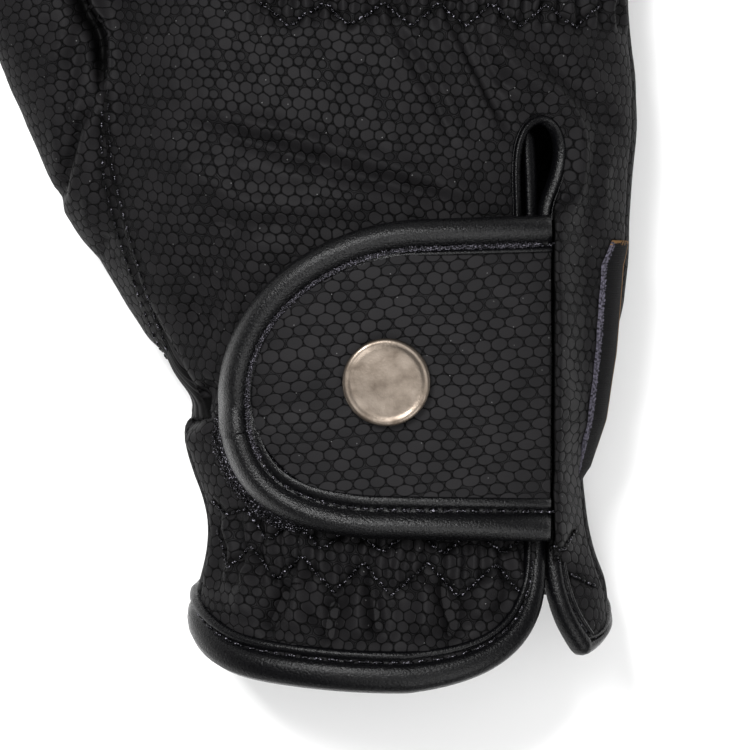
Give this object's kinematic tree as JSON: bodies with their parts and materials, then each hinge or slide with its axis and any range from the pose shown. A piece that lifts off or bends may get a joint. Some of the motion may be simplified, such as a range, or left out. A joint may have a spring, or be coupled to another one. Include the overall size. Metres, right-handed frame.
{
  "type": "horse riding glove",
  "caption": "Right-hand riding glove in pebbled synthetic leather, with a wrist vent slit, a bound cuff and a rounded strap with a round metal cap.",
  "frame": {"origin": "on the flat of the palm where the glove rests, below the strap's cap", "axes": "+Z from the palm to the back of the hand, +Y to the fingertips, +X to the little finger's side"},
  "size_m": [0.1243, 0.2221, 0.0435],
  "materials": {
    "grained_leather": "satin black, pebbled grain",
    "smooth_leather": "satin black, fine grain",
    "loop_fabric": "black looped pile",
    "antique_silver": "antique silver, satin",
    "woven_tape": "black woven tape with a grey selvedge"
  },
  "bodies": {
    "root": {"back_panel": "grained_leather", "palm_panel": "grained_leather", "thumb_panel": "grained_leather", "fourchette_index_middle": "grained_leather", "fourchette_middle_ring": "grained_leather", "fourchette_ring_little": "grained_leather", "cuff_binding": "smooth_leather", "loop_patch": "loop_fabric", "strap_panel": "grained_leather", "strap_binding": "smooth_leather", "button_cap": "antique_silver", "side_label": "woven_tape"}
  },
  "joints": []
}
